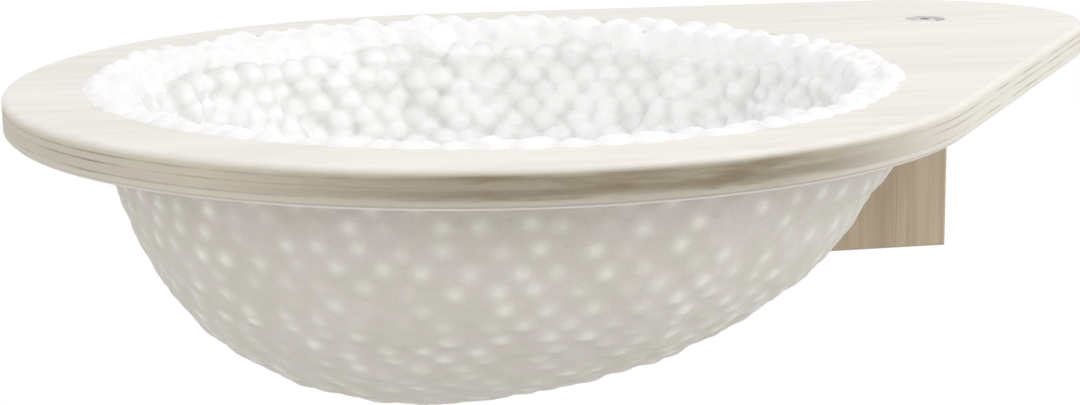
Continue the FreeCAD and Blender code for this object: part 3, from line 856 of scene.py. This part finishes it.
@dataclass
class Knitting:
    """Rows of yarn loops laid as closed curves and turned into one mesh."""

    name: str
    loop: Loop
    seed: int
    unevenness: Unevenness

    def __post_init__(self) -> None:
        """Start an empty curve."""
        self.curve = bpy.data.curves.new(self.name, "CURVE")
        self.curve.dimensions = "3D"
        self.curve.bevel_depth = self.loop.yarn
        self.curve.bevel_resolution = 1
        self.random = np.random.default_rng(self.seed)
        self.painted_heads: list[tuple[Vector, float]] = []

    def add_row(
        self, count: int, place: Placer, start: float,
        catch_light: Callable[[float], float] = all_light,
    ) -> None:
        """Lay one closed row of loops.

        Args:
            count: How many loops go round.
            place: Gives the point for an angle, a climb up the wall and a height towards the
                seen face.
            start: Where the first loop starts, as a share of a loop.
            catch_light: Gives the share of its painted highlight that a loop at an angle keeps.
        """
        steps = self.loop.steps
        spline = self.curve.splines.new("POLY")
        spline.points.add(count * steps - 1)
        spline.use_cyclic_u = True
        uneven = self.unevenness
        spreads = np.array((uneven.rise, uneven.inset, uneven.puff, uneven.slide))
        drawn = self.random.uniform(-1.0, 1.0, (count, len(spreads))) * spreads
        head_lights = self.random.uniform(self.loop.dullest, 1.0, count)
        for index in range(count * steps):
            stitch, step = divmod(index, steps)
            share = step / steps
            along, climb, height, thick = self.loop.offsets(2 * math.pi * share)
            blend = share * share * (3 - 2 * share)
            mixed = drawn[stitch] * (1 - blend) + drawn[(stitch + 1) % count] * blend
            rise, inset, puff, slide = mixed
            turns = stitch + share + start + slide + along / self.loop.width
            angle = 2 * math.pi / count * turns
            point = spline.points[index]
            point.co = (*place(angle, climb * (1 + rise), height + inset), 1.0)
            point.radius = thick * (1 + puff)
            if step == 0:
                head = place(angle, climb * (1 + rise), height + inset + self.loop.yarn)
                self.painted_heads.append((head, float(head_lights[stitch]) * catch_light(angle)))

    def finish(self) -> bpy.types.Object:
        """Turn the curve into one soft skin with a painted highlight round each loop's head.

        Returns:
            The finished piece.
        """
        piece = bpy.data.objects.new(self.name, self.curve)
        bpy.context.scene.collection.objects.link(piece)
        deselect_all()
        piece.select_set(True)
        bpy.context.view_layer.objects.active = piece
        bpy.ops.object.convert(target="MESH")
        piece = bpy.context.object
        self.felt(piece)
        bpy.ops.object.shade_smooth()
        self.paint_head_light(piece)
        return piece

    def felt(self, piece: bpy.types.Object) -> None:
        """Let neighbouring loops grow together, as their pile does, with rounded valleys."""
        grown = piece.modifiers.new("grow_together", "REMESH")
        grown.mode = "VOXEL"
        grown.voxel_size = self.loop.grain
        soft = piece.modifiers.new("soften", "SMOOTH")
        soft.factor = self.loop.smoothing
        soft.iterations = self.loop.softness
        for modifier in (grown, soft):
            bpy.ops.object.modifier_apply(modifier=modifier.name)

    def paint_head_light(self, piece: bpy.types.Object) -> None:
        """Paint a highlight on the skin round each loop's head, as strong as that loop's share of
        painted light.
        """
        tree = KDTree(len(self.painted_heads))
        for index, (head, _) in enumerate(self.painted_heads):
            tree.insert(head, index)
        tree.balance()
        values = np.empty(len(piece.data.vertices), dtype=np.float32)
        for vertex in piece.data.vertices:
            _, index, distance = tree.find(vertex.co)
            fall = (distance / self.loop.glint) ** self.loop.sharpness
            values[vertex.index] = self.painted_heads[index][1] * math.exp(-fall)
        tone = piece.data.attributes.new(HEAD_LIGHT, "FLOAT", "POINT")
        tone.data.foreach_set("value", values)


@dataclass(frozen=True)
class Layer:
    """One face of the bowl's knitting: its loops, row spacing, depth in the wall and yarn."""

    face: Face
    loop: Loop
    unevenness: Unevenness
    row_pitch: float
    inset: float
    first_row: float
    rows_per_piece: int
    seed: int
    yarn: Chenille


OUTSIDE = Layer(
    Face.OUTSIDE,
    Loop(
        width=0.0154, rise=0.0018, lean=0.0004, depth=0.0005, yarn=0.0071, swell=0.04,
        glint=0.0031, grain=0.0022, softness=6,
    ),
    Unevenness(rise=0.70, inset=0.0003, puff=0.03, slide=0.20),
    row_pitch=0.0092, inset=0.0073, first_row=0.0070, rows_per_piece=40, seed=11,
    # The outside's yarn is the white yarn painted darker and warmer, as painted shade of the
    # bowl's outside below the board; its bright loop heads are painted light that stands for light
    # shining through the knit.
    yarn=Chenille(
        "outside_chenille_painted_shade",
        light=(0.715, 0.682, 0.626), shade=(0.648, 0.61, 0.549), bright=(0.955, 0.94, 0.875),
        tinges=((0.67, 0.646, 0.552), (0.712, 0.665, 0.65)), tinge_strength=0.6,
    ),
)
INSIDE = Layer(
    Face.INSIDE,
    Loop(
        width=0.0150, rise=0.0026, lean=0.0015, depth=0.0030, yarn=0.0057, swell=0.33,
        glint=0.0060, sharpness=4.0, grain=0.00145, softness=1, dullest=0.7,
    ),
    Unevenness(rise=0.34, inset=0.0020, puff=0.15, slide=0.17),
    row_pitch=0.0100, inset=0.0088, first_row=0.0100, rows_per_piece=5, seed=29,
    # The inside's yarn is painted darker than the edge's white yarn, as painted shade in the
    # valleys between loops, and its loop heads get a strong painted highlight.
    yarn=Chenille(
        "inside_chenille_painted_shade",
        light=(0.80, 0.795, 0.785), shade=(0.735, 0.73, 0.715), bright=(0.985, 0.983, 0.979),
        tinges=((0.80, 0.80, 0.785), (0.80, 0.785, 0.78)),
    ),
)


@dataclass(frozen=True)
class Edge:
    """The nest's puffy edge round its hoop: four chains of loops in the board's ledge.

    One chain lies on top, one beside it, one hangs inside and one lies under the first. Towards
    the slack side the knit lifts and falls inwards in lumps.
    """

    name: str = "knitted_rim"
    yarn: Chenille = Chenille("white_chenille")
    seed: int = 37
    loop: Loop = Loop(
        width=0.0135, rise=0.0008, lean=0.0004, depth=0.0011, yarn=0.0065, swell=0.09,
        grain=0.0016, softness=3,
    )
    unevenness: Unevenness = Unevenness(rise=0.5, inset=0.0010, puff=0.10, slide=0.18)
    stand: float = 0.0034
    overhang: float = 0.0034
    row_spacing: float = 0.0086
    hang_in: float = 0.0035
    hang_down: float = 0.0090
    under: float = 0.0040
    starts: tuple[float, ...] = (0.0, 0.5, 0.25, 0.5)
    slack_at: float = 105.0
    lump_size: float = 0.020
    lump_height: float = 0.0100

    def lie(self, centre: Vector, radius: float, level: float) -> Placer:
        """Give a placer for a chain that lies flat round a centre, at a radius and a level."""
        def place(angle: float, climb: float, height: float) -> Vector:
            """Place a point of the yarn on the rim."""
            direction = Vector((math.cos(angle), math.sin(angle), 0.0))
            here = Vector((centre.x, centre.y, level + height)) + direction * (radius + climb)
            slack = max(0.0, math.cos(angle - math.radians(self.slack_at))) ** 2
            lump = self.lump_height * slack * max(0.0, noise.noise(here / self.lump_size))
            return here + Vector((0.0, 0.0, lump)) - direction * lump
        return place

    def knit(self, count_for: Callable[[float, float], int]) -> bpy.types.Object:
        """Knit the edge.

        Args:
            count_for: Gives the number of loops for a radius and a loop's width.

        Returns:
            The finished edge.
        """
        low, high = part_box("nest_rim")
        centre = (low + high) / 2
        thick = self.loop.yarn * (1 + self.loop.swell)
        outer = (high.x - low.x) / 2 + self.overhang - thick
        beside = outer - self.row_spacing
        level = high.z + self.stand - thick - self.loop.depth
        chains = (
            (outer, level),
            (beside, level - self.stand / 2),
            (beside - self.hang_in, level - self.hang_down),
            (outer - self.overhang / 2, level - self.under),
        )
        knitting = Knitting(self.name, self.loop, self.seed, self.unevenness)
        for (radius, height), start in zip(chains, self.starts):
            count = count_for(radius, self.loop.width)
            knitting.add_row(count, self.lie(centre, radius, height), start)
        return knitting.finish()


@dataclass
class Nest:
    """The knitted nest: a bowl with an outer and an inner face of loops, and its edge.

    A warp is the size of its waves and how far they pull. Blender seeds its vector noise from
    the clock at each start, so the warps have a seed of their own. The bulge is where the bowl
    swells below the board, on the bracket's side, its place and reach as shares of the depth.
    """

    form: BowlForm
    body: str = "nest"
    slot: str = "white_yarn"
    folds: Folds = Folds()
    edge: Edge = Edge()
    layers: tuple[Layer, ...] = (OUTSIDE, INSIDE)
    wedge: int = 4
    smallest_ring: int = 4
    row_shift: float = 0.5
    warps: tuple[tuple[float, float], ...] = ((0.055, 0.0026), (0.021, 0.0011))
    warp_seed: int = 1795825532
    calm_share: float = 0.12
    # Painted light: loops on the folds' ridges keep all their painted highlight, and those in the
    # creases only a share of it, as painted shade.
    crease_light: float = 0.85
    ridge_gain: float = 1.4
    lump_size: float = 0.038
    lump_height: float = 0.012
    bulge: float = 0.011
    bulge_share: float = 0.147
    bulge_reach: float = 0.065

    def count_for(self, radius: float, width: float) -> int:
        """Give the number of loops in a ring, the same over a few rows and fewer lower down."""
        wanted = 2 * math.pi * radius / width
        return max(self.smallest_ring, self.wedge * round(wanted / self.wedge))

    def warp(self, point: Vector, share: float) -> Vector:
        """Pull a point of the fabric a little out of line, less near the board.

        Args:
            point: The point as it would lie in an even fabric.
            share: Its share of the bowl's depth.

        Returns:
            The point in the uneven fabric.
        """
        strength = min(1.0, share / self.calm_share)
        for size, pull in self.warps:
            point = point + noise.noise_vector(point / size) * pull * strength
        return point

    def bowl_row(self, knitting: Knitting, layer: Layer, share: float, start: float) -> None:
        """Lay one ring of the bowl.

        Args:
            knitting: The knitting that gets the row.
            layer: The face that it belongs to.
            share: The row's share of the bowl's depth.
            start: Where its first loop starts, as a share of a loop.
        """
        radius = self.form.ring(share)[1]
        count = self.count_for(radius - layer.inset, layer.loop.width)
        inside = layer.face is Face.INSIDE
        facing = 1.0 if inside else -1.0

        def place(angle: float, climb: float, height: float) -> Vector:
            """Place a point of the yarn on the bowl's wall."""
            here, up, inward = self.form.frame(angle, share)
            stand = layer.inset + facing * height
            if inside:
                lump = self.lump_height * max(0.0, noise.noise(here / self.lump_size))
                stand += self.folds.lift(angle, share) + lump
            else:
                fall = ((share - self.bulge_share) / self.bulge_reach) ** 2
                stand -= self.bulge * max(0.0, math.cos(angle)) * math.exp(-fall)
            return self.warp(here + up * climb + inward * stand, share)

        def catch_light(angle: float) -> float:
            """Give a loop on a fold's ridge all of its painted highlight, and one in a crease
            less, as painted shade.
            """
            ridge = self.folds.lift(angle, share) / self.folds.highest * self.ridge_gain
            return self.crease_light + (1 - self.crease_light) * min(1.0, ridge)

        knitting.add_row(count, place, start, catch_light if inside else all_light)

    def knit_layer(self, layer: Layer) -> list[bpy.types.Object]:
        """Knit one face of the bowl in pieces from the mouth down.

        Each piece also gets the first row of the one below it, so that no gap is left between.

        Args:
            layer: The face and its loops.

        Returns:
            The pieces.
        """
        shares = self.form.rows(layer.row_pitch, layer.first_row)
        pieces = []
        for start in range(0, len(shares), layer.rows_per_piece):
            number = start // layer.rows_per_piece + 1
            name = f"knitted_{layer.face.value}_{number}"
            knitting = Knitting(name, layer.loop, layer.seed + number, layer.unevenness)
            rows = shares[start:start + layer.rows_per_piece + 1]
            for row, share in enumerate(rows, start=start):
                self.bowl_row(knitting, layer, share, self.row_shift * (row % 2))
            pieces.append(knitting.finish())
        return pieces

    def dress(self, pieces: list[bpy.types.Object], yarn: Chenille, node: str) -> None:
        """Give pieces their yarn and put them in the place of a plain solid.

        Args:
            pieces: The knitted pieces.
            yarn: The yarn's finish.
            node: The CAD node that they stand for.
        """
        finish = yarn.make()
        for piece in pieces:
            piece.data.materials.append(finish)
            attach(piece, self.body)
            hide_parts(node)
            LOG.info("%s: %d faces", piece.name, len(piece.data.polygons))

    def build(self) -> None:
        """Knit the bowl's two faces and the edge."""
        noise.seed_set(self.warp_seed)
        for layer in self.layers:
            self.dress(self.knit_layer(layer), layer.yarn, "nest_bowl")
        self.dress([self.edge.knit(self.count_for)], self.edge.yarn, "nest_rim")


@dataclass(frozen=True)
class Shelf:
    """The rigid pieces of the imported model, each with its finish."""

    finishes: tuple[tuple[Plywood | SolidWood | Metal, tuple[str, ...]], ...] = (
        (Plywood(), ("shelf_board",)),
        (SolidWood(), ("bracket_wall_plate", "bracket_arm")),
        (
            SolidWood("dowel_beech", light=(0.68, 0.50, 0.32), dark=(0.55, 0.38, 0.22)),
            ("bracket_dowels",),
        ),
        (Metal("bright_steel", (0.80, 0.80, 0.79), 0.22), ("board_bolt", "bolt_washer")),
        (Metal("zinc_plated_steel", (0.72, 0.72, 0.70), 0.32), ("bracket_screws", "nest_hoop")),
        (Metal("brass_insert", (0.80, 0.62, 0.30), 0.28), ("threaded_insert",)),
    )

    def build(self) -> None:
        """Dress the board, the bracket and the hardware."""
        for finish, nodes in self.finishes:
            material = finish.make()
            for node in nodes:
                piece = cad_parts[node]
                piece.data.materials.clear()
                piece.data.materials.append(material)
                LOG.info("%s: dressed", node)


def main() -> None:
    """Build the camera, the stage and the object's pieces."""
    logging.basicConfig(level=logging.INFO, format="%(message)s")
    bpy.context.scene.view_settings.view_transform = "Standard"
    PhotoCamera().build()
    Stage().build()
    Shelf().build()
    Nest(BowlForm()).build()


if __name__ == "__main__":
    main()
